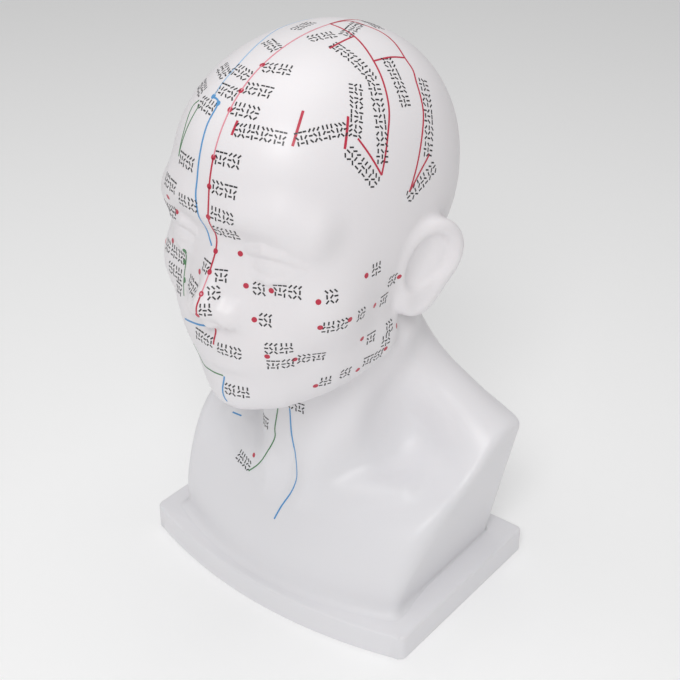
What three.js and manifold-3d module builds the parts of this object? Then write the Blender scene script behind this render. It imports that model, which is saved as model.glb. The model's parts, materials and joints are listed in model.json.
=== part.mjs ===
// A teaching head for acupuncture: a bald head and neck on a cut-off bust,
// moulded in one piece with its base plate.
// Millimetres. The figure looks along -Y, its left side is +X and +Z is up.
// The origin is the middle of the base plate's underside.
import * as THREE from 'three';
import { mergeVertices } from 'three/addons/utils/BufferGeometryUtils.js';
import Module from 'manifold-3d';

const wasm = await Module();
wasm.setup();

// Base plate
const plateWidth = 145;
const plateDepth = 93.2;
const plateHeight = 12.2;
const frontBulge = 12.3;
const plateCorner = 4;
const plateEdge = 1.8;

// Bust, cut off flat at the sides, the back and the foot
const footHalfWidth = 60.5;
const sideLean = 0.208;
const bustBack = 36;
const neckBackStart = 80;
const neckBackSlope = 0.4;
const chestFront = 51;
const chestCurve = 13;
const chestTop = 64.5;
const chestTopSlope = 0.33;
const chestTopSag = 0.0035;
const chestRounding = 26;
const footDepth = 3;
const cutMargin = 4;
const cutReach = 150;

// Head, from the skull down to the jaw; a pair is made on both sides
const skull = [
  { name: 'back of the skull', ball: [0, -5.5, 193.5], radii: [49, 54, 55.3], blend: 0 },
  { name: 'forehead', ball: [0, -28, 196], radii: [44, 45.5, 49.2], power: 2.1, blend: 10 },
];
const jaw = [
  { name: 'face', ball: [0, -31, 158], radii: [42, 36, 50], power: 2.4, blend: 0 },
  { name: 'cheekbones', ball: [29, -46.5, 161], radii: [16, 18, 17], blend: 10, pair: true },
  { name: 'muzzle', ball: [0, -57, 140], radii: [24, 17, 19], power: 2.2, blend: 10 },
  { name: 'jawbones', rod: [[30, -16, 131], [13, -54, 119]], thick: [8.5, 8.5], blend: 14, pair: true },
  { name: 'chin', ball: [0, -62, 117.5], radii: [11, 9.2, 9], blend: 10 },
];
const faceBlend = 12;

// Features of the face; a cut takes its form away
const features = [
  { name: 'brows', ball: [19, -61.5, 194], radii: [18, 9, 6.5], blend: 9, pair: true },
  { name: 'eye sockets', ball: [18.5, -77, 183], radii: [15, 9.5, 9.5], blend: 9, pair: true, cut: true },
  { name: 'closed eyes', ball: [19.5, -57, 178.5], radii: [11.5, 10, 8.5], blend: 3, pair: true },
  { name: 'bridge of the nose', rod: [[0, -62.5, 186], [0, -78, 160.3]], thick: [3.8, 5.2], blend: 5 },
  { name: 'wings of the nose', ball: [7.2, -73, 156.8], radii: [4.4, 6.2, 4.8], blend: 4, pair: true },
  { name: 'base of the nose', ball: [0, -73, 153.5], radii: [4, 6, 4], blend: 3 },
  { name: 'upper lip', ball: [5.5, -70.8, 141.5], radii: [10.5, 4.8, 3.4], blend: 3, pair: true },
  { name: 'lower lip', ball: [0, -69.8, 132.6], radii: [13, 5.2, 3.9], blend: 3 },
];

// Neck and shoulders
const neck = [
  { name: 'neck', rod: [[0, 7, 45], [0, -1, 140]], thick: [37, 29.5], blend: 0 },
  { name: 'shoulders', rod: [[11, 13, 118], [66, 25, 67.5]], thick: [10, 15.5], blend: 18, pair: true },
];
const neckBlend = 9;
const chestBlend = 20;
const throat = [
  { name: 'collarbones', rod: [[8, -31.5, 51.5], [47, -13.5, 57.5]], thick: [4.2, 3.6], blend: 9, pair: true },
  { name: 'neck muscles', rod: [[9, -27, 62], [29, 2, 126]], thick: [5.5, 7], blend: 12, pair: true },
  { name: 'throat notch', ball: [0, -41, 60], radii: [7, 7.5, 9], blend: 8, cut: true },
  { name: 'shoulder hollows', ball: [40, -9, 88], radii: [8, 9, 16], blend: 14, pair: true, cut: true },
];

// Ears, in their own frame: out of the ear's face, along it to the rear, and up it
const earPlace = new THREE.Vector3(44, -8, 162);
const earFlare = THREE.MathUtils.degToRad(28);
const earLean = THREE.MathUtils.degToRad(9);
const earTilt = THREE.MathUtils.degToRad(10);
const earUpper = { middle: [4.5, 6.5], radii: [14.5, 18.7] };
const earLower = { middle: [4.5, -12], radii: [8.5, 9.8] };
const earWaist = 9;
const rimInset = 2.8;
const rimOut = 1.2;
const rimRadius = 2.9;
const webThickness = 4.4;
const webInset = 0.8;
const earLobe = { name: 'lobe', ball: [0.3, 4, -12.5], radii: [3.4, 7.5, 8] };
const earRoot = { name: 'root', ball: [-4.5, -0.5, 0], radii: [5.5, 9, 16] };
const earBowl = { name: 'bowl', ball: [3.2, 1.5, 3], radii: [3.6, 7, 10.5] };
const earSoftness = 3;

// Mesh: bands of grid lines as from, to and greatest step, finest at the face
const bodyAcross = [[0, 24, 3.8], [24, 90, 6.8]];
const bodyDeep = [[-92, -56, 4], [-56, 58, 8]];
const bodyHigh = [[-10, 112, 9], [112, 200, 4.3], [200, 258, 8.5]];
const earGrid = [[[-13, 7, 2.4]], [[-15, 24, 3]], [[-27, 31, 3.2]]];
const projectionSteps = 4;
const slopeStep = 0.02;
const stepShare = 0.45;

function blendMin(a, b, width) {
  if (width === 0) return Math.min(a, b);
  const overlap = Math.max(width - Math.abs(a - b), 0);
  return Math.min(a, b) - (overlap * overlap) / (4 * width);
}

function blendMax(a, b, width) {
  return -blendMin(-a, -b, width);
}

// Distance to a rounded form that is squarer the higher its power
function ballDistance(p, { ball, radii, power = 2 }) {
  let sum = 0;
  let slope = 0;
  for (let i = 0; i < 3; i += 1) {
    const share = Math.abs((p[i] - ball[i]) / radii[i]) + 1e-9;
    sum += share ** power;
    slope += (share ** (power - 1) / radii[i]) ** 2;
  }
  const level = sum ** (1 / power);
  return (level - 1) / (Math.sqrt(slope) * level ** (1 - power));
}

// Distance to a rod whose thickness runs evenly from one end to the other
function rodDistance(p, { rod, thick }) {
  const [start, end] = rod;
  const run = end.map((value, i) => value - start[i]);
  const from = p.map((value, i) => value - start[i]);
  const length = run.reduce((sum, value) => sum + value * value, 0);
  const along = from.reduce((sum, value, i) => sum + value * run[i], 0);
  const share = THREE.MathUtils.clamp(along / length, 0, 1);
  const off = from.map((value, i) => value - run[i] * share);
  return Math.hypot(...off) - THREE.MathUtils.lerp(thick[0], thick[1], share);
}

function addForms(forms, p, start = Infinity) {
  const mirrored = [Math.abs(p[0]), p[1], p[2]];
  let distance = start;
  for (const form of forms) {
    const place = form.pair ? mirrored : p;
    const own = form.ball ? ballDistance(place, form) : rodDistance(place, form);
    if (form.cut) distance = blendMax(distance, -own, form.blend);
    else if (distance === Infinity) distance = own;
    else distance = blendMin(distance, own, form.blend);
  }
  return distance;
}

// Distance to an upright oval in the ear's face
function ovalDistance(along, up, { middle, radii }) {
  const a = (along - middle[0]) / radii[0];
  const b = (up - middle[1]) / radii[1];
  const level = Math.hypot(a, b) + 1e-9;
  return (level * (level - 1)) / (Math.hypot(a / radii[0], b / radii[1]) + 1e-9);
}

const earRear = new THREE.Vector3(Math.sin(earFlare), Math.cos(earFlare), 0);
const earFace = new THREE.Vector3(Math.cos(earFlare), -Math.sin(earFlare), 0);
const upright = new THREE.Vector3(0, 0, 1);
const leaning = upright.clone().multiplyScalar(Math.cos(earLean));
leaning.addScaledVector(earFace, Math.sin(earLean));
const earOut = earFace.clone().multiplyScalar(Math.cos(earLean));
earOut.addScaledVector(upright, -Math.sin(earLean));
const earUp = leaning.clone().multiplyScalar(Math.cos(earTilt));
earUp.addScaledVector(earRear, Math.sin(earTilt));
const earAlong = earRear.clone().multiplyScalar(Math.cos(earTilt));
earAlong.addScaledVector(leaning, -Math.sin(earTilt));

// The ear is a thin web with a round rim, a full lobe, a thick root and a bowl
function earDistance([out, along, up]) {
  const upper = ovalDistance(along, up, earUpper);
  const lower = ovalDistance(along, up, earLower);
  const outline = blendMin(upper, lower, earWaist);
  const rim = Math.hypot(outline + rimInset, out - rimOut) - rimRadius;
  const web = blendMax(outline + 1, Math.abs(out + webInset) - webThickness / 2, 2);
  let ear = blendMin(rim, web, earSoftness);
  ear = blendMin(ear, ballDistance([out, along, up], earLobe), earSoftness);
  ear = blendMin(ear, ballDistance([out, along, up], earRoot), earSoftness);
  return blendMax(ear, -ballDistance([out, along, up], earBowl), earSoftness);
}

// The chest bulges to the front and its top falls away from the neck
function chestDistance([x, y, z]) {
  const bulge = chestCurve * (1 - (x / footHalfWidth) ** 2);
  const front = -y - (chestFront - chestCurve + bulge);
  const top = z - (chestTop + chestTopSlope * y - chestTopSag * y * y);
  return blendMax(front, top * Math.cos(Math.atan(chestTopSlope)), chestRounding);
}

// Distance to the head and bust together, a little larger where they are cut flat
function bodyDistance(p) {
  const [x, y, z] = p;
  let body = blendMin(addForms(skull, p), addForms(jaw, p), faceBlend);
  body = addForms(features, p, body);
  body = blendMin(body, addForms(neck, p), neckBlend);
  body = blendMin(body, chestDistance(p), chestBlend);
  body = addForms(throat, p, body);
  const side = Math.abs(x) - (footHalfWidth + sideLean * (z - plateHeight));
  const back = y - (bustBack + neckBackSlope * Math.max(z - neckBackStart, 0));
  return Math.max(body, side - cutMargin, back - cutMargin, plateHeight - footDepth - z);
}

function gridLines(bands) {
  const lines = [bands[0][0]];
  for (const [from, to, step] of bands) {
    const count = Math.ceil((to - from) / step);
    for (let i = 1; i <= count; i += 1) {
      lines.push(from + ((to - from) * i) / count);
    }
  }
  return lines;
}

// Lines on both sides of the middle, which runs through the middle of a cell
function mirroredLines(bands) {
  const half = gridLines(bands).slice(1);
  const shift = (half[1] - half[0]) / 2;
  const right = [shift, ...half.map((line) => line + shift)];
  return [...right.map((line) => -line).reverse(), ...right];
}

function projectToSurface(distance, point, reach) {
  for (let step = 0; step < projectionSteps; step += 1) {
    const value = distance(point);
    const slope = point.map((_, i) => {
      const ahead = [...point];
      const behind = [...point];
      ahead[i] += slopeStep;
      behind[i] -= slopeStep;
      return (distance(ahead) - distance(behind)) / (2 * slopeStep);
    });
    const steepness = Math.max(slope.reduce((sum, s) => sum + s * s, 0), 0.1);
    const wanted = value / steepness;
    const length = Math.abs(wanted) * Math.sqrt(steepness);
    const share = Math.min(1, reach / Math.max(length, 1e-9));
    for (let i = 0; i < 3; i += 1) point[i] -= wanted * share * slope[i];
  }
}

// The twelve edges of a grid cell, each an axis and the corner it starts from
const cellEdges = [];
for (let axis = 0; axis < 3; axis += 1) {
  for (let side = 0; side < 4; side += 1) {
    const start = [0, 0, 0];
    start[(axis + 1) % 3] = side & 1;
    start[(axis + 2) % 3] = side >> 1;
    const end = [...start];
    end[axis] = 1;
    cellEdges.push({ start, end });
  }
}

// The six faces of a cell, each as its own four edges
const cellFaces = [];
for (let axis = 0; axis < 3; axis += 1) {
  for (const side of [0, 1]) {
    const onFace = ({ start, end }) => start[axis] === side && end[axis] === side;
    cellFaces.push([...cellEdges.keys()].filter((index) => onFace(cellEdges[index])));
  }
}

// Groups a cell's crossed edges into patches of surface. Where a face is crossed
// four times, the two edges at the same inner corner belong together.
function surfacePatches(crossed, innerCorner) {
  const group = [...cellEdges.keys()];
  const join = (a, b) => {
    const [from, to] = [group[a], group[b]];
    group.forEach((value, index) => {
      if (value === from) group[index] = to;
    });
  };
  for (const face of cellFaces) {
    const hits = face.filter((index) => crossed[index]);
    for (const a of hits) {
      for (const b of hits) {
        const together = hits.length === 2 || innerCorner[a] === innerCorner[b];
        if (a < b && together) join(a, b);
      }
    }
  }
  const patches = new Map();
  group.forEach((name, index) => {
    if (crossed[index]) patches.set(name, [...(patches.get(name) ?? []), index]);
  });
  return [...patches.values()];
}

// One vertex for every patch of surface in a cell, one face across every grid
// edge the surface crosses
function surfaceMesh(distance, lines) {
  const [nx, ny, nz] = lines.map((axis) => axis.length);
  const strides = [1, nx, nx * ny];
  const at = (i, j, k) => i + nx * (j + ny * k);
  const values = new Float64Array(nx * ny * nz);
  const eachPoint = (count, from, action) => {
    for (let k = from; k < nz - count; k += 1) {
      for (let j = from; j < ny - count; j += 1) {
        for (let i = from; i < nx - count; i += 1) action([i, j, k], at(i, j, k));
      }
    }
  };
  eachPoint(0, 0, ([i, j, k], here) => {
    values[here] = distance([lines[0][i], lines[1][j], lines[2][k]]);
  });
  const positions = [];
  const edgeVertex = new Map();
  eachPoint(1, 0, (cell, here) => {
    const valueAt = (corner) => values[here + at(...corner)];
    const crossed = cellEdges.map(({ start, end }) => valueAt(start) < 0 !== valueAt(end) < 0);
    if (!crossed.includes(true)) return;
    const innerCorner = cellEdges.map(({ start, end }) => at(...(valueAt(start) < 0 ? start : end)));
    const sizes = cell.map((index, axis) => lines[axis][index + 1] - lines[axis][index]);
    for (const patch of surfacePatches(crossed, innerCorner)) {
      const point = [0, 0, 0];
      for (const index of patch) {
        const { start, end } = cellEdges[index];
        const share = valueAt(start) / (valueAt(start) - valueAt(end));
        for (let axis = 0; axis < 3; axis += 1) {
          const along = THREE.MathUtils.lerp(start[axis], end[axis], share);
          point[axis] += (lines[axis][cell[axis]] + sizes[axis] * along) / patch.length;
        }
        edgeVertex.set(here * cellEdges.length + index, positions.length / 3);
      }
      projectToSurface(distance, point, (Math.min(...sizes) * stepShare) / projectionSteps);
      positions.push(...point);
    }
  });
  const gap = (a, b) => {
    const offsets = [0, 1, 2].map((axis) => positions[3 * a + axis] - positions[3 * b + axis]);
    return Math.hypot(...offsets);
  };
  const indices = [];
  eachPoint(1, 1, (cell, here) => {
    for (let axis = 0; axis < 3; axis += 1) {
      const inside = values[here] < 0;
      if (inside !== values[here + strides[axis]] < 0) {
        const [besideU, besideV] = [strides[(axis + 1) % 3], strides[(axis + 2) % 3]];
        const ring = [[0, 0], [1, 0], [1, 1], [0, 1]];
        const quad = ring.map(([u, v]) => {
          const owner = here - u * besideU - v * besideV;
          return edgeVertex.get(owner * cellEdges.length + 4 * axis + u + 2 * v);
        });
        if (!inside) quad.reverse();
        const [a, b, c, d] = quad;
        if (gap(a, c) < gap(b, d)) indices.push(a, b, c, a, c, d);
        else indices.push(a, b, d, b, c, d);
      }
    }
  });
  const geometry = new THREE.BufferGeometry();
  geometry.setAttribute('position', new THREE.Float32BufferAttribute(positions, 3));
  geometry.setIndex(indices);
  return geometry;
}

// The plate is square at the back and sides and bowed at the front
function plateGeometry() {
  const halfWidth = plateWidth / 2;
  const halfDepth = plateDepth / 2;
  const bowRadius = (halfWidth ** 2 + frontBulge ** 2) / (2 * frontBulge);
  const bowMiddle = bowRadius - frontBulge - halfDepth;
  const cornerAngle = Math.asin((halfWidth - plateCorner) / bowRadius);
  const outline = new THREE.Shape();
  outline.moveTo(halfWidth, -halfDepth + plateCorner);
  outline.lineTo(halfWidth, halfDepth - plateCorner);
  outline.quadraticCurveTo(halfWidth, halfDepth, halfWidth - plateCorner, halfDepth);
  outline.lineTo(plateCorner - halfWidth, halfDepth);
  outline.quadraticCurveTo(-halfWidth, halfDepth, -halfWidth, halfDepth - plateCorner);
  outline.lineTo(-halfWidth, -halfDepth + plateCorner);
  const bowStart = -bowRadius * Math.sin(cornerAngle);
  const bowHeight = bowMiddle - bowRadius * Math.cos(cornerAngle);
  outline.quadraticCurveTo(-halfWidth, -halfDepth, bowStart, bowHeight);
  const down = -Math.PI / 2;
  outline.absarc(0, bowMiddle, bowRadius, down - cornerAngle, down + cornerAngle, false);
  outline.quadraticCurveTo(halfWidth, -halfDepth, halfWidth, -halfDepth + plateCorner);
  const geometry = new THREE.ExtrudeGeometry(outline, {
    depth: plateHeight - 2 * plateEdge,
    bevelEnabled: true,
    bevelSize: plateEdge,
    bevelOffset: -plateEdge,
    bevelThickness: plateEdge,
    bevelSegments: 3,
    curveSegments: 6,
  });
  geometry.translate(0, 0, plateEdge);
  return geometry;
}

function wasmMesh(geometry) {
  return new wasm.Mesh({
    numProp: 3,
    vertProperties: new Float32Array(geometry.attributes.position.array),
    triVerts: new Uint32Array(geometry.index.array),
  });
}

function solidOf(geometry) {
  const bare = geometry.clone();
  bare.deleteAttribute('normal');
  bare.deleteAttribute('uv');
  return new wasm.Manifold(wasmMesh(mergeVertices(bare, 1e-4)));
}

function geometryOf(solid) {
  const { vertProperties, triVerts } = solid.getMesh();
  const geometry = new THREE.BufferGeometry();
  geometry.setAttribute('position', new THREE.BufferAttribute(new Float32Array(vertProperties), 3));
  geometry.setIndex(new THREE.BufferAttribute(new Uint32Array(triVerts), 1));
  geometry.computeVertexNormals();
  return geometry;
}

// A block to cut the bust with, drawn as an outline and pushed through it
function cutBlock(outline, turn) {
  const shape = new THREE.Shape(outline.map(([x, y]) => new THREE.Vector2(x, y)));
  const geometry = new THREE.ExtrudeGeometry(shape, { depth: 2 * cutReach, bevelEnabled: false });
  geometry.translate(0, 0, -cutReach);
  geometry.applyMatrix4(turn);
  return solidOf(geometry);
}

const leanAt = (z) => footHalfWidth + sideLean * (z - plateHeight);
const sideOutline = [
  [leanAt(0), 0],
  [cutReach, 0],
  [cutReach, cutReach],
  [leanAt(cutReach), cutReach],
];
const backOutline = [
  [bustBack, 0],
  [cutReach, 0],
  [cutReach, cutReach],
  [bustBack + neckBackSlope * (cutReach - neckBackStart), cutReach],
  [bustBack, neckBackStart],
];
const upFromFront = new THREE.Matrix4().makeRotationX(Math.PI / 2);
const upFromSide = new THREE.Matrix4().makeRotationZ(Math.PI / 2).multiply(upFromFront);
const otherSide = new THREE.Matrix4().makeRotationZ(Math.PI);
const leftCut = cutBlock(sideOutline, upFromFront);
const rightCut = cutBlock(sideOutline, otherSide.multiply(upFromFront));
const backCut = cutBlock(backOutline, upFromSide);

const bodyGrid = [mirroredLines(bodyAcross), gridLines(bodyDeep), gridLines(bodyHigh)];
const body = new wasm.Manifold(wasmMesh(surfaceMesh(bodyDistance, bodyGrid)));
const bust = body.subtract(leftCut).subtract(rightCut).subtract(backCut);

const earMesh = surfaceMesh(earDistance, earGrid.map(gridLines));
const earFrame = new THREE.Matrix4().makeBasis(earOut, earAlong, earUp).setPosition(earPlace);
const mirrorFrame = new THREE.Matrix4().makeScale(-1, 1, 1).multiply(earFrame);
const ears = [earFrame, mirrorFrame].map((frame) => {
  const geometry = earMesh.clone().applyMatrix4(frame);
  if (frame.determinant() < 0) geometry.index.array.reverse();
  return new wasm.Manifold(wasmMesh(geometry));
});
const whole = bust.add(ears[0]).add(ears[1]).add(solidOf(plateGeometry()));

const group = new THREE.Group();
group.name = 'acupuncture_head';
const head = new THREE.Mesh(
  geometryOf(whole),
  new THREE.MeshStandardMaterial({ color: 0xeceae9, roughness: 0.42, metalness: 0 }),
);
head.name = 'head_bust';
group.add(head);

export default group;
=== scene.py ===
# Acupuncture teaching head: a white moulded head on a cut-off bust, printed with lines, dots and labels.
# Metres in the scene; the head's own sizes below are in millimetres, in the same frame as the solids.
import bpy
import json
import math
import numpy as np
from mathutils import Matrix, Vector
from mathutils.bvhtree import BVHTree

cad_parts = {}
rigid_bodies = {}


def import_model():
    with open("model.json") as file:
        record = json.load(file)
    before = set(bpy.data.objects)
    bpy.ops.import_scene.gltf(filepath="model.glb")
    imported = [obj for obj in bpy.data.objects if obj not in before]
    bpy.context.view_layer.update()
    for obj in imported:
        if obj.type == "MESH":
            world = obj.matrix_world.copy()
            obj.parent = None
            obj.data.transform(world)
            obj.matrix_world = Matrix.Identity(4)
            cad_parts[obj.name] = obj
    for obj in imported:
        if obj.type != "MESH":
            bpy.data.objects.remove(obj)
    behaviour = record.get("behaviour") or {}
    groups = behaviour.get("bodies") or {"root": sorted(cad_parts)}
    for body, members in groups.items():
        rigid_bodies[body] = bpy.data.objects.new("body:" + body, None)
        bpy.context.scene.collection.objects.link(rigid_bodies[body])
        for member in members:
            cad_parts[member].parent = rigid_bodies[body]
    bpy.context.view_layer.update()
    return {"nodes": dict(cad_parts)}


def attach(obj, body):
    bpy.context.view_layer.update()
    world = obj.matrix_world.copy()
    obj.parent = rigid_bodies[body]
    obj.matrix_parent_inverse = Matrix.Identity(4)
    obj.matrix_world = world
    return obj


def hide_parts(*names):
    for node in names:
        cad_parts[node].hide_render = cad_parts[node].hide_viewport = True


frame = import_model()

mm = 0.001
print("stage: frame loaded")


# Helpers

def deselectAll():
    for thing in bpy.context.view_layer.objects:
        thing.select_set(False)


def makeActive(thing):
    deselectAll()
    thing.select_set(True)
    bpy.context.view_layer.objects.active = thing


def applyModifier(thing, kind, **settings):
    makeActive(thing)
    modifier = thing.modifiers.new(kind.lower(), kind)
    for name, value in settings.items():
        setattr(modifier, name, value)
    bpy.ops.object.modifier_apply(modifier=modifier.name)


def readPoints(thing):
    points = np.empty(len(thing.data.vertices) * 3, np.float32)
    thing.data.vertices.foreach_get("co", points)
    return points.reshape(-1, 3).astype(float) / mm


def writePoints(thing, points):
    thing.data.vertices.foreach_set("co", (points * mm).astype(np.float32).ravel())
    thing.data.update()


# Camera, floor and light

view = {
    "azimuth": 38.713,  # degrees round from the front, towards the figure's left
    "elevation": 31.367,
    "distance": 617.5,
    "aimSideways": 1.008,
    "aimUp": 92.615,
    "lens": 68.86,
}
azimuth, elevation = math.radians(view["azimuth"]), math.radians(view["elevation"])
backwards = Vector((
    math.sin(azimuth) * math.cos(elevation),
    -math.cos(azimuth) * math.cos(elevation),
    math.sin(elevation),
))
rightwards = Vector((math.cos(azimuth), math.sin(azimuth), 0))
upwards = backwards.cross(rightwards)
aim = rightwards * view["aimSideways"] + upwards * view["aimUp"]
bpy.ops.object.camera_add(location=(aim + backwards * view["distance"]) * mm)
camera = bpy.context.object
camera.rotation_euler = backwards.to_track_quat("Z", "Y").to_euler()
camera.data.lens = view["lens"]
camera.data.sensor_width = 36
bpy.context.scene.camera = camera

lighting = {
    "worldStrength": 0.38,
    "key": {"place": (420, -700, 900), "size": 420, "watts": 4.6},
    "fill": {"place": (-800, -420, 700), "size": 700, "watts": 0.8},
    "top": {"place": (0, 60, 1100), "size": 700, "watts": 2.6},
    "floorGlow": 0.08,
}
world = bpy.data.worlds.new("studio")
bpy.context.scene.world = world
world.use_nodes = True
world.node_tree.nodes["Background"].inputs["Color"].default_value = (1, 1, 1, 1)
world.node_tree.nodes["Background"].inputs["Strength"].default_value = lighting["worldStrength"]
for lampName in ("key", "fill", "top"):
    lamp = lighting[lampName]
    place = Vector(lamp["place"]) * mm
    bpy.ops.object.light_add(type="AREA", location=place)
    light = bpy.context.object
    light.name = lampName + "_light"
    light.data.size = lamp["size"] * mm
    light.data.energy = lamp["watts"]
    light.rotation_euler = (place - Vector((0, 0, 130)) * mm).to_track_quat("Z", "Y").to_euler()
bpy.context.scene.view_settings.view_transform = "Standard"
print("stage: camera and lights")


# The form of the head, as distances to blended shapes

# Balls have a middle and radii, and are squarer the higher their power. Rods run from one end to the other.
# A pair is made on both sides, and a cut takes its form away.
skull = [
    {"ball": (0, -5.5, 193.5), "radii": (49, 53.85, 55.1), "power": 2.12},
    {"ball": (0, -28, 196), "radii": (44, 45.5, 49), "power": 2.1, "blend": 10},
]
face = [
    {"ball": (0, -31, 158), "radii": (42, 36, 50), "power": 2.4},
    {"ball": (29, -46.5, 161), "radii": (16, 18, 17), "blend": 10, "pair": True},  # cheekbones
    {"ball": (0, -57, 140), "radii": (24, 17, 19), "power": 2.2, "blend": 10},  # round the mouth
    {"rod": ((30, -16, 131), (13, -54, 119)), "thick": (8.5, 8.5), "blend": 14, "pair": True},  # jaw
    {"ball": (0, -62, 117.5), "radii": (11, 9.2, 9), "blend": 10},  # chin
]
features = [
    {
        "path": ((4, -64.5, 190.5), (13, -64.2, 194.5), (23, -60.5, 195.5), (32, -55.5, 192)),
        "thick": (5.5, 7, 7.2, 6.5),
        "blend": 10,
        "pair": True,
    },  # brows
    {"ball": (17.5, -78, 184), "radii": (14, 9.5, 8.5), "blend": 9, "pair": True, "cut": True},  # eye sockets
    {"ball": (0, -80, 182), "radii": (9, 9, 8), "blend": 8, "cut": True},
    {"rod": ((0, -61.6, 186), (0, -77.6, 160.3)), "thick": (3.4, 5.4), "blend": 5.5},  # nose
    {"rod": ((4, -62, 183), (8.5, -67.5, 162)), "thick": (2.5, 5.5), "blend": 8, "pair": True},
    {"ball": (7.6, -72, 157), "radii": (4.8, 6.6, 4.9), "blend": 5, "pair": True},  # its wings
    {"ball": (0, -73, 153.5), "radii": (4, 6, 4), "blend": 3},
    {"ball": (16, -58.5, 151), "radii": (10, 9, 12), "blend": 12, "pair": True},  # beside the nose
]
eyes = [
    {"ball": (19.8, -57, 178.3), "radii": (11.5, 10.9, 8), "blend": 1.6, "pair": True},
    {
        "path": (
            (9.5, -65.2, 180.4),
            (14, -66, 184),
            (20, -66.1, 185.6),
            (26, -64.2, 184.9),
            (32, -59.8, 181.4),
        ),
        "thick": (1.2, 2.5, 2.9, 2.6, 1.4),
        "blend": 1.8,
        "pair": True,
    },  # upper lids
    {
        "path": (
            (11, -65.6, 176.6),
            (15.5, -66.6, 174.4),
            (21, -66.6, 173.5),
            (27, -63.6, 175),
            (32, -59.2, 178.6),
        ),
        "thick": (0.9, 1.4, 1.6, 1.4, 0.9),
        "blend": 1.8,
        "pair": True,
    },  # lower lids
]
lips = [
    {
        "path": ((0, -71.9, 141.4), (3, -72.2, 142), (9, -70.3, 140.8), (16.5, -65.2, 138.2)),
        "thick": (2.3, 2.5, 2, 0.9),
        "blend": 4,
        "pair": True,
    },
    {
        "path": ((0, -70.4, 134.4), (7, -69.4, 134.5), (15, -65.4, 137)),
        "thick": (3.2, 3, 1.2),
        "blend": 3.5,
        "pair": True,
    },
]
neck = [
    {"rod": ((0, 7, 45), (0, -1, 140)), "thick": (37, 29.5)},
    {"rod": ((11, 13, 118), (66, 25, 67.5)), "thick": (10, 15.5), "blend": 18, "pair": True},  # shoulders
]
throat = [
    # collarbones
    {"rod": ((8, -31.5, 51.5), (47, -13.5, 57.5)), "thick": (4.2, 3.6), "blend": 9, "pair": True},
    {"rod": ((9, -27, 62), (29, 2, 126)), "thick": (5.5, 7), "blend": 12, "pair": True},
    {"ball": (0, -42.5, 61), "radii": (7, 7, 10), "blend": 9, "cut": True},
    {"ball": (40, -9, 88), "radii": (8, 9, 16), "blend": 14, "pair": True, "cut": True},
]
bust = {
    "footHalfWidth": 60.5,
    "sideLean": 0.208,
    "sideRounding": (3.5, 9),  # at the shoulder and the foot, and halfway
    "back": 36,
    "backRounding": 5,
    "neckBackStart": 80,
    "neckBackSlope": 0.4,
    "chestFront": 51,
    "chestCurve": 13,
    "chestTop": 64.5,
    "chestTopSlope": 0.33,
    "chestTopSag": 0.0035,
    "chestRounding": 26,
}
plate = {
    "width": 145,
    "depth": 93.2,
    "height": 12.2,
    "frontBulge": 12.3,
    "cornerRadius": 2.6,
    "edgeRadius": 1.2,
    "skirtFront": 7,  # how softly the bust flows out over it at the front and at the sides
    "skirtSide": 1.5,
    "skirtSink": 0.35,
    "skirtInset": 2.2,
    "footInside": 2,  # the head piece ends this high inside it
}
ear = {
    "place": (44, -8, 162),
    "flare": 28,
    "lean": 9,
    "tilt": 10,
    "upper": ((4.5, 5.6), (14.5, 17)),
    "lower": ((4.5, -12), (8.5, 9.8)),
    "waist": 9,
    "rimInset": 2.8,
    "rimOut": 1.2,
    "rimRadius": 2.9,
    "webThickness": 4.4,
    "webInset": 0.8,
    "lobe": {"ball": (0.3, 4, -12.5), "radii": (3.4, 7.5, 8)},
    "root": {"ball": (-4.5, -0.5, 0), "radii": (5.5, 9, 16)},
    "bowl": {"ball": (3.2, 1.5, 3), "radii": (3.6, 7, 10.5)},
    "softness": 3,
    "blend": 4,
}


def blendMin(a, b, width):
    overlap = np.maximum(width - np.abs(a - b), 0)
    return np.minimum(a, b) - overlap * overlap / (4 * width)


def blendMax(a, b, width):
    return -blendMin(-a, -b, width)


def ballDistance(points, form):
    radii, power = np.array(form["radii"], float), form.get("power", 2)
    share = np.abs((points - np.array(form["ball"], float)) / radii) + 1e-9
    level = (share ** power).sum(-1) ** (1 / power)
    slope = np.linalg.norm(share ** (power - 1) / radii, axis=-1)
    return (level - 1) / (slope * level ** (1 - power))


def rodDistance(points, form):
    start, end = np.array(form["rod"], float)
    run = end - start
    share = np.clip((points - start) @ run / (run @ run), 0, 1)
    thick = form["thick"][0] + (form["thick"][1] - form["thick"][0]) * share
    return np.linalg.norm(points - start - share[:, None] * run, axis=-1) - thick


def pathDistance(points, form):
    bends, thick = form["path"], form["thick"]
    lengths = ({"rod": bends[i:i + 2], "thick": thick[i:i + 2]} for i in range(len(bends) - 1))
    return np.min([rodDistance(points, length) for length in lengths], axis=0)


def addForms(forms, points, mirrored, distance=None):
    for form in forms:
        place = mirrored if form.get("pair") else points
        own = ballDistance(place, form) if "ball" in form else None
        if own is None:
            own = rodDistance(place, form) if "rod" in form else pathDistance(place, form)
        if distance is None:
            distance = own
        elif form.get("cut"):
            distance = blendMax(distance, -own, form["blend"])
        else:
            distance = blendMin(distance, own, form["blend"])
    return distance


def ovalDistance(along, up, oval):
    (middleAlong, middleUp), (radiusAlong, radiusUp) = oval
    a, b = (along - middleAlong) / radiusAlong, (up - middleUp) / radiusUp
    level = np.hypot(a, b) + 1e-9
    return level * (level - 1) / (np.hypot(a / radiusAlong, b / radiusUp) + 1e-9)


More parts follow.
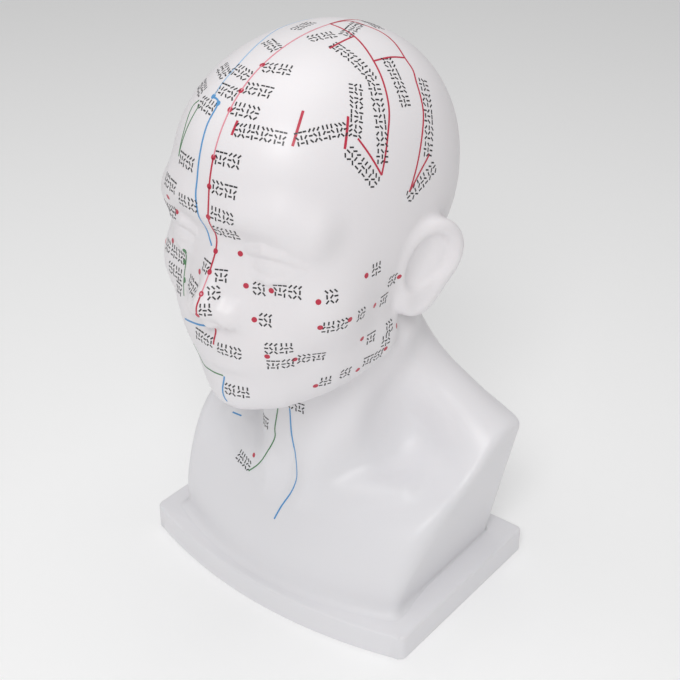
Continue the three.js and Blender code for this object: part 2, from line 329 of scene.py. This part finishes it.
def earFrame():
    flare, lean, tilt = (math.radians(ear[name]) for name in ("flare", "lean", "tilt"))
    rear = np.array((math.sin(flare), math.cos(flare), 0))
    front = np.array((math.cos(flare), -math.sin(flare), 0))
    upright = np.array((0, 0, 1.0))
    leaning = upright * math.cos(lean) + front * math.sin(lean)
    out = front * math.cos(lean) - upright * math.sin(lean)
    up = leaning * math.cos(tilt) + rear * math.sin(tilt)
    along = rear * math.cos(tilt) - leaning * math.sin(tilt)
    return np.array((out, along, up))


earAxes = earFrame()


def earDistance(mirrored):
    place = (mirrored - np.array(ear["place"], float)) @ earAxes.T
    out, along, up = place.T
    outline = blendMin(
        ovalDistance(along, up, ear["upper"]),
        ovalDistance(along, up, ear["lower"]),
        ear["waist"],
    )
    rim = np.hypot(outline + ear["rimInset"], out - ear["rimOut"]) - ear["rimRadius"]
    web = blendMax(outline + 1, np.abs(out + ear["webInset"]) - ear["webThickness"] / 2, 2)
    shape = blendMin(rim, web, ear["softness"])
    for name in ("lobe", "root"):
        shape = blendMin(shape, ballDistance(place, ear[name]), ear["softness"])
    return blendMax(shape, -ballDistance(place, ear["bowl"]), ear["softness"])


def chestDistance(x, y, z):
    bulge = bust["chestCurve"] * (1 - (x / bust["footHalfWidth"]) ** 2)
    front = -y - (bust["chestFront"] - bust["chestCurve"] + bulge)
    top = z - (bust["chestTop"] + bust["chestTopSlope"] * y - bust["chestTopSag"] * y * y)
    return blendMax(front, top * math.cos(math.atan(bust["chestTopSlope"])), bust["chestRounding"])


def bowPlace():
    # the front edge is an arc between the plate's two front corners
    halfWidth, bulge = plate["width"] / 2, plate["frontBulge"]
    radius = (halfWidth ** 2 + bulge ** 2) / (2 * bulge)
    return radius, radius - plate["depth"] / 2 - bulge


def skirtDistance(x, y, z):
    radius, middle = bowPlace()
    outline = np.maximum(
        np.maximum(np.abs(x) - plate["width"] / 2, y - plate["depth"] / 2),
        np.hypot(x, y - middle) - radius,
    )
    return np.maximum(outline + plate["skirtInset"], z - plate["height"] + plate["skirtSink"])


def headDistance(points):
    x, y, z = points.T
    mirrored = np.stack((np.abs(x), y, z), -1)
    shape = blendMin(addForms(skull, points, mirrored), addForms(face, points, mirrored), 12)
    shape = addForms(features + eyes + lips, points, mirrored, shape)
    shape = blendMin(shape, addForms(neck, points, mirrored), 9)
    shape = blendMin(shape, earDistance(mirrored), ear["blend"])
    shape = blendMin(shape, chestDistance(x, y, z), 20)
    shape = addForms(throat, points, mirrored, shape)
    side = np.abs(x) - (bust["footHalfWidth"] + bust["sideLean"] * (z - plate["height"]))
    thin, wide = bust["sideRounding"]
    rounding = thin + (wide - thin) * np.exp(-(((z - 42) / 18) ** 2))
    shape = blendMax(shape, side * math.cos(math.atan(bust["sideLean"])), rounding)
    back = y - (bust["back"] + bust["neckBackSlope"] * np.maximum(z - bust["neckBackStart"], 0))
    shape = blendMax(shape, back, bust["backRounding"])
    front = 1 / (1 + np.exp((y + 26) / 6))
    flow = plate["skirtSide"] + (plate["skirtFront"] - plate["skirtSide"]) * front
    return np.maximum(blendMin(shape, skirtDistance(x, y, z), flow), plate["footInside"] - z)


def surfaceNormals(points, step=0.03):
    slope = np.empty_like(points)
    for axis in range(3):
        shift = np.zeros(3)
        shift[axis] = step
        slope[:, axis] = (headDistance(points + shift) - headDistance(points - shift)) / (2 * step)
    return slope


def settleOnSurface(points, times=4, reach=2.0):
    for _ in range(times):
        distance, slope = headDistance(points), surfaceNormals(points)
        move = -(distance / np.maximum((slope * slope).sum(-1), 0.1))[:, None] * slope
        length = np.linalg.norm(move, axis=-1, keepdims=True)
        points = points + move * np.minimum(1, reach / np.maximum(length, 1e-9))
    return points


# The head piece: a copy of the solid, remeshed fine and settled on the form

def copySolid(node, name):
    deselectAll()
    shell = node.copy()
    shell.data = node.data.copy()
    shell.name = shell.data.name = name
    for key in list(shell.keys()):
        del shell[key]
    shell.parent = None
    bpy.context.scene.collection.objects.link(shell)
    makeActive(shell)
    bpy.ops.object.mode_set(mode="EDIT")
    bpy.ops.mesh.select_all(action="SELECT")
    bpy.ops.mesh.remove_doubles(threshold=0.01 * mm)
    bpy.ops.object.mode_set(mode="OBJECT")
    return shell


def refine(thing, wanted):
    # splits the faces whose middles a test picks into four
    middles = np.empty(len(thing.data.polygons) * 3, np.float32)
    thing.data.polygons.foreach_get("center", middles)
    makeActive(thing)
    bpy.ops.object.mode_set(mode="EDIT")
    bpy.ops.mesh.select_mode(type="FACE")
    bpy.ops.mesh.select_all(action="DESELECT")
    bpy.ops.object.mode_set(mode="OBJECT")
    thing.data.polygons.foreach_set("select", wanted(middles.reshape(-1, 3).astype(float) / mm))
    bpy.ops.object.mode_set(mode="EDIT")
    bpy.ops.mesh.subdivide(number_cuts=1)
    bpy.ops.object.mode_set(mode="OBJECT")


def nearFace(p):
    x, y, z = np.abs(p[:, 0]), p[:, 1], p[:, 2]
    return (y < -48) & (z > 110) & (z < 202) & (x < 38)


def nearFeatures(p):
    x, y, z = np.abs(p[:, 0]), p[:, 1], p[:, 2]
    eyes = (x > 7) & (x < 32) & (y < -50) & (z > 170) & (z < 190)
    noseTip = (x < 14) & (y < -66) & (z > 148) & (z < 168)
    mouth = (x < 18) & (y < -62) & (z > 126) & (z < 148)
    return eyes | noseTip | mouth


def nearEars(p):
    place = (np.stack((np.abs(p[:, 0]), p[:, 1], p[:, 2]), -1) - np.array(ear["place"], float)) @ earAxes.T
    return (np.abs(place[:, 1] - 3) < 19) & (np.abs(place[:, 2] - 1) < 26) & (np.abs(place[:, 0]) < 9)


def nearCrease(p):
    return (p[:, 2] < 17) & (p[:, 2] > 8) & (np.abs(p[:, 0]) < 66) & (p[:, 1] < 42)


def buildHead():
    shell = copySolid(frame["nodes"]["head_bust"], "moulded_head")
    applyModifier(shell, "REMESH", mode="VOXEL", voxel_size=2 * mm)
    writePoints(shell, settleOnSurface(readPoints(shell), 4))
    print("stage: head remeshed,", len(shell.data.polygons), "faces")
    refine(shell, lambda p: nearFace(p) | nearEars(p) | nearCrease(p))
    writePoints(shell, settleOnSurface(readPoints(shell), 3))
    refine(shell, nearFeatures)
    writePoints(shell, settleOnSurface(readPoints(shell), 3))
    return shell


head = buildHead()
headPoints = readPoints(head)
headNormals = surfaceNormals(headPoints)
headNormals /= np.linalg.norm(headNormals, axis=-1, keepdims=True)
for polygon in head.data.polygons:
    polygon.use_smooth = True
head.data.normals_split_custom_set_from_vertices(headNormals)
head.data.materials.clear()
print("stage: head,", len(head.data.polygons), "faces")


# The base plate: a slab with a bowed front, its corners and top edge rounded

def buildPlate():
    radius, middle = bowPlace()
    halfWidth, back = plate["width"] / 2, plate["depth"] / 2
    span = math.asin(halfWidth / radius)
    steps = 64
    deselectAll()
    bpy.ops.mesh.primitive_plane_add(size=1)
    slab = bpy.context.object
    slab.name = slab.data.name = "base_plate"
    turns = [span * (2 * i / steps - 1) for i in range(steps + 1)]
    outline = [(radius * math.sin(t), middle - radius * math.cos(t)) for t in turns] + [
        (halfWidth, back),
        (-halfWidth, back),
    ]
    slab.data.clear_geometry()
    slab.data.from_pydata([(x * mm, y * mm, 0) for x, y in outline], [], [list(range(len(outline)))])
    makeActive(slab)
    bpy.ops.object.mode_set(mode="EDIT")
    bpy.ops.mesh.select_all(action="SELECT")
    bpy.ops.mesh.extrude_region_move(TRANSFORM_OT_translate={"value": (0, 0, plate["height"] * mm)})
    bpy.ops.mesh.select_all(action="SELECT")
    bpy.ops.mesh.normals_make_consistent(inside=False)
    bpy.ops.object.mode_set(mode="OBJECT")

    def bevel(wanted, width, segments):
        makeActive(slab)
        bpy.ops.object.mode_set(mode="EDIT")
        bpy.ops.mesh.select_mode(type="EDGE")
        bpy.ops.mesh.select_all(action="DESELECT")
        bpy.ops.object.mode_set(mode="OBJECT")
        for edge in slab.data.edges:
            a, b = (slab.data.vertices[i].co / mm for i in edge.vertices)
            edge.select = wanted(a, b)
        bpy.ops.object.mode_set(mode="EDIT")
        bpy.ops.mesh.bevel(offset=width * mm, segments=segments, affect="EDGES")
        bpy.ops.object.mode_set(mode="OBJECT")

    def isCorner(a, b):
        upright = abs(a.x - b.x) + abs(a.y - b.y) < 0.01
        return upright and abs(abs(a.x) - halfWidth) < 0.01

    bevel(isCorner, plate["cornerRadius"], 6)
    bevel(lambda a, b: min(a.z, b.z) > plate["height"] - 0.01, plate["edgeRadius"], 4)
    bevel(lambda a, b: max(a.z, b.z) < 0.01, 0.3, 1)
    makeActive(slab)
    bpy.ops.object.shade_smooth_by_angle(angle=math.radians(35))
    return slab


slab = buildPlate()
slab.data.materials.clear()
print("stage: base plate,", len(slab.data.polygons), "faces")


# Materials

def linearColour(code):
    parts = [int(code[i:i + 2], 16) / 255 for i in (1, 3, 5)]
    return (*(p / 12.92 if p <= 0.04045 else ((p + 0.055) / 1.055) ** 2.4 for p in parts), 1)


def addNode(tree, kind, settings=None, values=None, links=None):
    node = tree.nodes.new(kind)
    for name, value in (settings or {}).items():
        setattr(node, name, value)
    for name, value in (values or {}).items():
        node.inputs[name].default_value = value
    for name, source in (links or {}).items():
        tree.links.new(source, node.inputs[name])
    return node


# Rotocast soft PVC: cast in a fine-blasted metal mould and left unpolished, so it has a
# broad satin sheen, a very fine pebble and slight drifts of warmer and cooler white.
# From the chin down the white is also painted cooler and slightly darker towards the bottom: painted shade.
pvc = {
    "warm": "#f0ecee",
    "cool": "#eae9ec",
    "driftSize": 60,
    "driftShare": 0.35,
    # painted shade: between these heights in mm the white is painted cooler and slightly darker downwards
    "paintedShadeBelow": (150, 60),
    "pebbleSize": 0.9,
    "roughness": 0.4,
}


def pvcMaterial():
    material = bpy.data.materials.new("rotocast_pvc")
    material.use_nodes = True
    tree = material.node_tree
    shader = tree.nodes["Principled BSDF"]
    place = addNode(tree, "ShaderNodeTexCoord").outputs["Object"]
    drift = addNode(
        tree,
        "ShaderNodeTexNoise",
        values={"Scale": 1 / (pvc["driftSize"] * mm), "Detail": 2},
        links={"Vector": place},
    )
    height = addNode(tree, "ShaderNodeSeparateXYZ", links={"Vector": place})
    # painted shade: cooler and slightly darker from the chin down over the neck, bust and plate
    high, low = pvc["paintedShadeBelow"]
    cool = addNode(
        tree,
        "ShaderNodeMapRange",
        values={
            "From Min": high * mm,
            "From Max": low * mm,
            "To Min": 0,
            "To Max": 1 - pvc["driftShare"] / 2,
        },
        links={"Value": height.outputs["Z"]},
    )
    patches = addNode(
        tree,
        "ShaderNodeMath",
        {"operation": "MULTIPLY"},
        {1: pvc["driftShare"]},
        {0: drift.outputs["Fac"]},
    )
    mix = addNode(
        tree,
        "ShaderNodeMath",
        {"operation": "ADD"},
        links={0: cool.outputs["Result"], 1: patches.outputs["Value"]},
    )
    colour = addNode(tree, "ShaderNodeValToRGB", links={"Fac": mix.outputs["Value"]})
    # the cool end is reached both by the random drifts and by the painted shade towards the bottom
    colour.color_ramp.elements[0].color = linearColour(pvc["warm"])
    colour.color_ramp.elements[1].color = linearColour(pvc["cool"])
    pebble = addNode(
        tree,
        "ShaderNodeTexNoise",
        values={"Scale": 1 / (pvc["pebbleSize"] * mm), "Detail": 3},
        links={"Vector": place},
    )
    rough = addNode(
        tree,
        "ShaderNodeMapRange",
        values={
            "From Min": 0.3,
            "From Max": 0.7,
            "To Min": pvc["roughness"] - 0.05,
            "To Max": pvc["roughness"] + 0.06,
        },
        links={"Value": drift.outputs["Fac"]},
    )
    bump = addNode(
        tree,
        "ShaderNodeBump",
        values={"Strength": 0.04, "Distance": 0.1 * mm},
        links={"Height": pebble.outputs["Fac"]},
    )
    tree.links.new(colour.outputs["Color"], shader.inputs["Base Color"])
    tree.links.new(rough.outputs["Result"], shader.inputs["Roughness"])
    tree.links.new(bump.outputs["Normal"], shader.inputs["Normal"])
    shader.inputs["IOR"].default_value = 1.52
    shader.inputs["Subsurface Weight"].default_value = 0.12
    shader.inputs["Subsurface Radius"].default_value = (1, 0.9, 0.85)
    shader.inputs["Subsurface Scale"].default_value = 2 * mm
    return material


castPvc = pvcMaterial()
for piece in (head, slab):
    piece.data.materials.append(castPvc)
    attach(piece, "root")
    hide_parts("head_bust")


# The print: ink films that follow the head

printing = {
    "line": 0.75,  # widths and sizes in mm
    "thinLine": 0.6,
    "heavyLine": 1.0,
    "stroke": 0.6,
    "dot": 1.1,
    "signHeight": 5.5,  # one sign of a label
    "signStep": 5.8,
    "signFill": 0.9,  # its width as a share of the step
    "step": 1.0,
    "film": 0.12,
}

# Each line runs through these places on the head.
redLines = {
    "midline": [
        (0, -69.7, 217), (0, -72.5, 206.8), (0, -74, 195.3), (0, -73, 188.5), (0, -71.2, 180.6),
        (0, -75, 173.4),
    ],
    "noseTip": [(0, -80.6, 165.4), (0, -82.6, 162.4), (0, -82.6, 158.4)],
    "underNose": [(0, -74.2, 149.6), (0, -73.5, 146.8), (0, -75, 142.2)],
    "frontZone": [
        (0, -4.3, 248.8), (13, -6.3, 247.3), (25.7, -10.9, 241.8), (31.5, -13.5, 237.3),
        (36.6, -16.7, 231.8),
        (39.5, -19.4, 227.5), (42.6, -24.4, 220.5), (45.1, -30.9, 209.2),
    ],
    "frontZoneBack": [(45.1, -30.9, 209.2), (42.3, -33.6, 216.4), (38.4, -36.2, 223.2)],
    "crownBranch": [(13, -6.3, 247.3), (13.5, -21.2, 246.7)],
    "crossLine": [(25.7, -10.9, 241.8), (26.5, -2.2, 241), (27.9, 5.3, 239.1)],
    "rearZone": [
        (0, -4.3, 248.8), (1.6, 4.9, 248), (8.2, 7, 247), (15, 8.8, 245), (21.1, 8, 242.7),
        (27.9, 5.3, 239.1),
        (32.3, 4.5, 235.5), (35.9, 2, 232.2), (41.3, -1.2, 224.9), (43.4, -3.6, 221), (46.1, -8.4, 214.4),
        (48.5, -18.3, 199.1),
    ],
    "rearZoneBack": [(48.5, -18.3, 199.1), (48.3, -11.7, 204.6), (47.4, -4.6, 209.2)],
    "backMidline": [
        (0, -4.3, 248.8), (0, 14, 246), (0, 31, 236), (0, 42, 219), (0, 48, 196), (0, 45, 172),
        (0, 36, 150),
        (0, 31, 128), (0, 33, 106), (0, 36, 84),
    ],
}
browMarks = {
    "first": [(5.1, -61.9, 229.6), (5, -65.2, 225.2)],
    "second": [(23.4, -48, 233.5), (25.7, -56.7, 223.7)],
    "third": [(33.7, -35.8, 230.2), (37.3, -42.2, 220.9)],
}
# Painted highlight: these red lines are printed paler where the highlight falls, on the crown and the ridge
# of the nose.
paintedHighlightRedLines = {
    "scalpMidline": [
        (0, -4.5, 248.8), (0, -17.5, 248.5), (0, -31, 246.5), (0, -42.5, 243.2), (0, -54, 237),
        (0, -60.2, 231.9), (0, -65.5, 225),
        (0, -69.7, 217),
    ],
    "noseRidge": [(0, -75, 173.4), (0, -77.5, 169.6), (0, -80.6, 165.4)],
}
# Painted highlight: this blue line is printed paler where the highlight falls on the crown.
paintedHighlightBlueLines = {
    "scalp": [
        (-13, 20, 240), (-17.4, -6.7, 245.9), (-13.2, -27.9, 245.7), (-10.6, -43.1, 242),
        (-10.8, -53.9, 235.8), (-11, -57, 233.3),
    ],
}
blueLines = {
    "brow": [
        (-11, -57, 233.3), (-6.7, -59.2, 232.3), (-7.4, -64.6, 225.6), (-6.9, -69.2, 217.1),
        (-6.4, -71.8, 208.7),
        (-6.4, -73.2, 202.2), (-5.3, -74, 196.6), (-4.9, -73, 191), (-4.6, -71.1, 185.1),
        (-2.6, -71.8, 182),
    ],
    "rearScalp": [
        (-13, 20, 240),
        (-13, 34, 229),
        (-13, 44, 208),
        (-13, 46, 186),
        (-13, 39, 162),
        (-13, 30, 138),
        (-15, 31, 112),
        (-17, 36, 84),
    ],
    "nose": [(-18.1, -69, 145), (-12.1, -72.9, 146.2), (-7.1, -73.4, 147.2), (-0.8, -74.3, 149.6)],
    "chin": [(1.3, -71.6, 126.5), (0.2, -71.7, 120.8), (0.5, -71.6, 116.9), (1.5, -70.9, 114.6)],
    "throat": [
        (-2, -29.5, 88),
        (-0.9, -30.5, 75.2),
        (3.3, -33.3, 62),
        (4.7, -35.1, 54.6),
        (1.5, -40.2, 44.3),
        (-0.3, -44, 37.7),
    ],
    "shoulder": [(-47.3, -18.5, 60.4), (-41, -19, 61)],
    "earSide": [
        (-34, -57, 184), (-42, -44, 196), (-46, -28, 207), (-48, -8, 211), (-46, 12, 207), (-41, 25, 192),
        (-36, 30, 170),
        (-31, 25, 148), (-27, 20, 126),
    ],
}
greenLines = {
    "cheek": [(-19.4, -68, 172.9), (-20.1, -68, 163.4), (-18.6, -69, 154.4)],
    "scalpZone": [(-18.6, -56.7, 229.9), (-21.5, -57.6, 226.8), (-20.8, -63, 219.8), (-20.5, -66.9, 210.9)],
    "scalpZoneBack": [(-20.5, -66.9, 210.9), (-18.9, -63.3, 221.2), (-16.5, -58.5, 229.3)],
    "lip": [(-15.5, -68, 134.5), (-13.4, -68.2, 126), (-6.1, -71, 125.9), (0.7, -71.6, 126.7)],
    "throat": [
        (-9, -29.5, 88),
        (-9.9, -31, 75.6),
        (-9.3, -32.5, 69.9),
        (-14.4, -35.1, 58.1),
        (-22.5, -35.5, 48.4),
    ],
    "jawSide": [
        (-18.6, -66, 138),
        (-28, -57, 126),
        (-38, -38, 138),
        (-43, -27, 158),
        (-46, -26, 180),
        (-47, -27, 200),
        (-43, -34, 214),
    ],
}
redDots = [
    (0, -42.5, 243.2), (0, -54, 237), (0, -60.2, 231.9), (0, -69.7, 217), (0, -72.5, 206.8),
    (0, -74, 195.3), (0, -71.5, 180.6),
    (0, -75, 173.4), (0, -82.6, 158.4), (10.1, -68.8, 181.7), (13.4, -70, 170.1), (22.7, -66.6, 169.8),
    (38.9, -59.4, 167.6),
    (45.1, -39, 171.9), (44.5, -17.7, 162.2), (43.5, -31.6, 155.4), (45.1, -48.7, 157.6),
    (39.8, -59.6, 157.2),
    (17.6, -70.8, 157.6), (40.7, -35.7, 141.5), (39.6, -11.6, 135.7), (21.9, -69.2, 142.5),
    (28.8, -61.4, 140.1),
    (29.9, -50.8, 123.2), (37, -33.4, 124.7), (40.5, -20, 129.4), (-21.8, -32.5, 55.7), (-25.5, -69, 193.9),
    (-22.7, -67.5, 188.2),
    (-30.3, -63.7, 172.1), (-7.2, -72.9, 170.2), (0, 14, 246), (0, 31, 236), (0, 42, 219), (0, 48, 196),
    (0, 45, 172),
    (0, 36, 150), (0, 31, 128), (-38.9, -59.4, 167.6), (-45.1, -39, 171.9), (-40.7, -35.7, 141.5),
    (-29.9, -50.8, 123.2),
]
redRings = [(0, -80, 166.4)]
blueDots = [
    (-11, -57, 233.3), (-6.7, -59.2, 232.3), (-13, 34, 229), (-13, 46, 186), (-13, 39, 162), (-13, 30, 138),
    (-42, -44, 196),
    (-48, -8, 211), (-41, 25, 192), (-31, 25, 148),
]
greenDots = [
    (-19.4, -68.2, 172.9),
    (-20.8, -67.3, 167.5),
    (-19.4, -69.3, 160.9),
    (-38, -38, 138),
    (-43, -27, 158),
    (-46, -26, 180),
]

# Labels: the middle, how many signs, the turn from level in degrees, and the step between
# signs where it is its own
labels = [
    ((-7.2, -11.5, 248.5), 2, 0), ((6.1, -16.6, 248.5), 2, 0), ((-5.6, -30.9, 246.6), 2, 0),
    ((8.3, -1.6, 248.1), 3, 0),
    ((-6.2, -47.4, 240.8), 2, 0), ((6.4, -41.8, 243.3), 2, 0), ((-5.9, -55.1, 236.1), 2, 0),
    ((6.1, -51.8, 238.3), 2, 0),
    ((6.1, -59, 232.6), 2, 0), ((14.7, -61.3, 227.1), 4, -3, 5), ((31, -47.1, 226.7), 4, 4, 5),
    ((34, -31.5, 231.5), 4, 66, 5.4),
    ((39.6, -24.5, 226.1), 5, -107, 6.3), ((42, -37.7, 213.7), 3, -56, 6.2),
    ((22.2, -18, 243.5), 4, -81, 5.6), ((33.8, -7.1, 235.1), 4, -107, 5.4),
    ((43, 0.4, 221.3), 5, -118, 6.3), ((48.8, -10.7, 200.5), 3, 22, 6.6), ((6, -69.1, 217.6), 2, 0),
    ((6.6, -72.1, 207.3), 2, 0),
    ((6.6, -74, 197.5), 2, 0), ((5.9, -72, 189.4), 2, 0), ((4.5, -73.6, 173), 1, 0),
    ((3.9, -77.4, 167), 1, 0),
    ((3.2, -81.8, 161.2), 1, 0), ((18.1, -68, 169.6), 1, 0), ((28.7, -64.6, 170.8), 2, 0),
    ((41.7, -55.1, 169), 1, 0),
    ((45.4, -33.4, 172.4), 1, 0), ((43.9, -21.4, 162.1), 1, 0), ((42.6, -24.8, 154.8), 1, 0),
    ((45.3, -42.1, 157), 1, 0),
    ((43.1, -54.6, 156.7), 2, 0), ((21.5, -69, 158), 1, 0), ((40.7, -30, 139.5), 1, 0),
    ((40.9, -18.4, 139.1), 1, 0),
    ((41.2, -20.7, 133.8), 1, 0), ((25.9, -67.1, 146.4), 2, 0), ((25, -65.2, 138.3), 2, 0),
    ((32.4, -56.1, 139.9), 2, 0),
    ((32.4, -47.7, 124.7), 1, 0), ((36.1, -39.9, 126.2), 1, 0), ((39.3, -26.4, 127.9), 2, 0),
    ((0.5, -30.2, 90.8), 2, 0), ((7.1, -74.5, 141.5), 2, 0),
    ((6.6, -70.8, 121.4), 2, 0), ((-5.7, -74.8, 142.8), 2, 0), ((-18.8, -28.1, 73.7), 2, 13),
    ((-27.5, -33, 50.4), 2, -4), ((-12.5, -59.4, 230.3), 2, 0), ((-14.5, -69.3, 211.6), 2, 0),
    ((-23.4, -69.6, 200.4), 2, 0),
    ((-10.7, -73.8, 197.6), 2, 0), ((-28.2, -65.8, 187.1), 2, 0), ((-3.1, -73.8, 174.5), 1, 0),
    ((-34.4, -62.6, 168.3), 1, 0),
    ((-25.7, -65.9, 168.5), 2, 0), ((-27.2, -66.6, 161), 2, 0), ((-23.6, -68.5, 155.7), 1, 0),
    ((-10.4, -74.1, 163.6), 2, 0),
    ((-16.1, -46.1, 238.8), 2, 0), ((-23.4, -50.3, 231.9), 2, 0),
    ((6, 14, 246), 2, 0), ((6, 31, 235), 2, 0), ((6, 42, 218), 2, 0), ((6, 48, 196), 2, 0),
    ((6, 45, 172), 2, 0), ((6, 36, 150), 2, 0),
    ((-20, 33, 226), 2, 0), ((-20, 43, 186), 2, 0), ((-19, 36, 162), 2, 0), ((-46, -38, 196), 2, 0),
    ((-45, -33, 172), 1, 0),
    ((-41, -30, 141), 2, 0), ((-34, -45, 125), 1, 0),
]

# A sign is a square of loose strokes, each level, rising, upright or falling. It is no writing.
strokeSquare = {"side": 3, "edge": 0.15, "reach": 0.15, "turns": 4}


def signStrokes(number):
    side, edge, reach = (strokeSquare[name] for name in ("side", "edge", "reach"))
    gap = (1 - 2 * edge) / (side - 1)
    strokes = []
    for row in range(side):
        for column in range(side):
            choice = (number + row * (column + 1) + 2 * column) % strokeSquare["turns"]
            turn = math.pi * choice / strokeSquare["turns"]
            x, y = edge + gap * column, edge + gap * row
            across, up = reach * math.cos(turn), reach * math.sin(turn)
            strokes.append((x - across, y - up, x + across, y + up))
    return strokes


headTree = BVHTree.FromObject(head, bpy.context.evaluated_depsgraph_get())


def onHead(place):
    spot, normal, _, _ = headTree.find_nearest(Vector(place) * mm)
    return spot / mm, normal


def smoothRun(places):
    # a curve through the places, with points a step apart
    ends = (
        [2 * Vector(places[0]) - Vector(places[1])]
        + [Vector(p) for p in places]
        + [2 * Vector(places[-1]) - Vector(places[-2])]
    )
    run = []
    for i in range(1, len(ends) - 2):
        a, b, c, d = ends[i - 1:i + 3]
        count = max(1, round((c - b).length / printing["step"]))
        for j in range(count):
            t = j / count
            square = 2 * a - 5 * b + 4 * c - d
            cube = 3 * b - a - 3 * c + d
            run.append(0.5 * (2 * b + (c - a) * t + square * t * t + cube * t ** 3))
    return run + [ends[-2]]


class InkSheet:
    def __init__(self):
        self.points, self.faces = [], []

    def ribbon(self, run, width):
        spots = [onHead(p) for p in run]
        first = len(self.points)
        for i, (spot, normal) in enumerate(spots):
            ahead = (spots[min(i + 1, len(spots) - 1)][0] - spots[max(i - 1, 0)][0]).normalized()
            across = ahead.cross(normal).normalized() * width / 2
            self.points += [spot + across, spot - across]
        for i in range(first, len(self.points) - 2, 2):
            self.faces.append((i, i + 2, i + 3, i + 1))

    def dot(self, place, radius, hole=0):
        spot, normal = onHead(place)
        level = Vector((0, 0, 1)).cross(normal).normalized()
        upright = normal.cross(level)
        count = 14
        turns = [2 * math.pi * i / count for i in range(count)]
        first = len(self.points)
        for reach in (hole, radius) if hole else (radius,):
            self.points += [spot + reach * (math.cos(t) * level + math.sin(t) * upright) for t in turns]
        if hole:
            for i in range(count):
                j = (i + 1) % count
                self.faces.append((first + i, first + count + i, first + count + j, first + j))
            return
        self.points.append(spot)
        for i in range(count):
            self.faces.append((first + i, first + (i + 1) % count, first + count))

    def label(self, place, count, turn, first, step=printing["signStep"]):
        spot, normal = onHead(place)
        level = Vector((0, 0, 1)).cross(normal).normalized()
        along = Matrix.Rotation(math.radians(turn), 3, normal) @ level
        upright = normal.cross(along) * printing["signHeight"]
        wide = along * step * printing["signFill"]
        for number in range(count):
            corner = spot + along * (number - (count - 1) / 2) * step - (wide + upright) / 2
            for x0, y0, x1, y1 in signStrokes(first + number):
                a, b = corner + wide * x0 + upright * y0, corner + wide * x1 + upright * y1
                pieces = max(1, round((b - a).length / printing["step"]))
                self.ribbon([a.lerp(b, i / pieces) for i in range(pieces + 1)], printing["stroke"])

    def build(self, name):
        deselectAll()
        bpy.ops.mesh.primitive_plane_add(size=1 * mm)
        film = bpy.context.object
        film.name = film.data.name = name
        film.data.clear_geometry()
        film.data.from_pydata([tuple(p * mm) for p in self.points], [], self.faces)
        applyModifier(
            film,
            "SHRINKWRAP",
            target=head,
            wrap_method="NEAREST_SURFACEPOINT",
            wrap_mode="ON_SURFACE",
            offset=0,
        )
        applyModifier(film, "SOLIDIFY", thickness=printing["film"] * mm, offset=0)
        makeActive(film)
        bpy.ops.object.mode_set(mode="EDIT")
        bpy.ops.mesh.select_all(action="SELECT")
        bpy.ops.mesh.normals_make_consistent(inside=False)
        bpy.ops.object.mode_set(mode="OBJECT")
        return film


# Pad-printed solvent ink: a thin film that bites into the PVC, a little glossier
# than it and slightly uneven where the pad lifted off.
inks = {
    "red": "#c2324a",
    # painted highlight: the paler red of the lines under the highlight
    "paintedHighlightRed": "#e592a0",
    "blue": "#5598cf",
    # painted highlight: the paler blue of the line under the highlight
    "paintedHighlightBlue": "#a3c8e8",
    "green": "#44804f",
    "black": "#2e2e30",
}
inkFinish = {"roughness": 0.36, "unevenSize": 1.5}


def inkMaterial(colour):
    material = bpy.data.materials.new("pad_printed_" + colour)
    material.use_nodes = True
    tree = material.node_tree
    shader = tree.nodes["Principled BSDF"]
    place = addNode(tree, "ShaderNodeTexCoord").outputs["Object"]
    uneven = addNode(
        tree,
        "ShaderNodeTexNoise",
        values={"Scale": 1 / (inkFinish["unevenSize"] * mm), "Detail": 2},
        links={"Vector": place},
    )
    rough = addNode(
        tree,
        "ShaderNodeMapRange",
        values={"To Min": inkFinish["roughness"] - 0.08, "To Max": inkFinish["roughness"] + 0.1},
        links={"Value": uneven.outputs["Fac"]},
    )
    bump = addNode(
        tree,
        "ShaderNodeBump",
        values={"Strength": 0.1, "Distance": 0.02 * mm},
        links={"Height": uneven.outputs["Fac"]},
    )
    tree.links.new(rough.outputs["Result"], shader.inputs["Roughness"])
    tree.links.new(bump.outputs["Normal"], shader.inputs["Normal"])
    shader.inputs["Base Color"].default_value = linearColour(inks[colour])
    shader.inputs["IOR"].default_value = 1.5
    return material


def printInk(colour, lines=(), dots=(), rings=(), marks=()):
    sheet = InkSheet()
    for group, width in lines:
        for places in group.values():
            sheet.ribbon(smoothRun(places), printing[width])
    for place in dots:
        sheet.dot(place, printing["dot"])
    for place in rings:
        sheet.dot(place, printing["dot"], printing["dot"] * 0.45)
    for number, (place, count, turn, *step) in enumerate(marks):
        sheet.label(place, count, turn, number * 3, *step)
    film = sheet.build("ink_" + colour)
    film.data.materials.append(inkMaterial(colour))
    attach(film, "root")
    print("stage: ink", colour, len(film.data.polygons), "faces")


# painted highlight: the paler red lines on the crown and the nose ridge
printInk("paintedHighlightRed", [(paintedHighlightRedLines, "thinLine")])
# painted highlight: the paler blue line on the crown
printInk("paintedHighlightBlue", [(paintedHighlightBlueLines, "thinLine")])
printInk("red", [(redLines, "line"), (browMarks, "heavyLine")], redDots, redRings)
printInk("blue", [(blueLines, "line")], blueDots)
printInk("green", [(greenLines, "thinLine")], greenDots)
printInk("black", marks=labels)

# Floor: white seamless paper
bpy.ops.mesh.primitive_plane_add(size=6, location=(0, 0, 0))
floor = bpy.context.object
floor.name = "paper_floor"
paper = bpy.data.materials.new("seamless_paper")
paper.use_nodes = True
paperShader = paper.node_tree.nodes["Principled BSDF"]
paperShader.inputs["Base Color"].default_value = linearColour("#f8f8f8")
paperShader.inputs["Roughness"].default_value = 0.9
paperShader.inputs["Emission Color"].default_value = (1, 1, 1, 1)
paperShader.inputs["Emission Strength"].default_value = lighting["floorGlow"]
floor.data.materials.append(paper)
print("stage: materials")
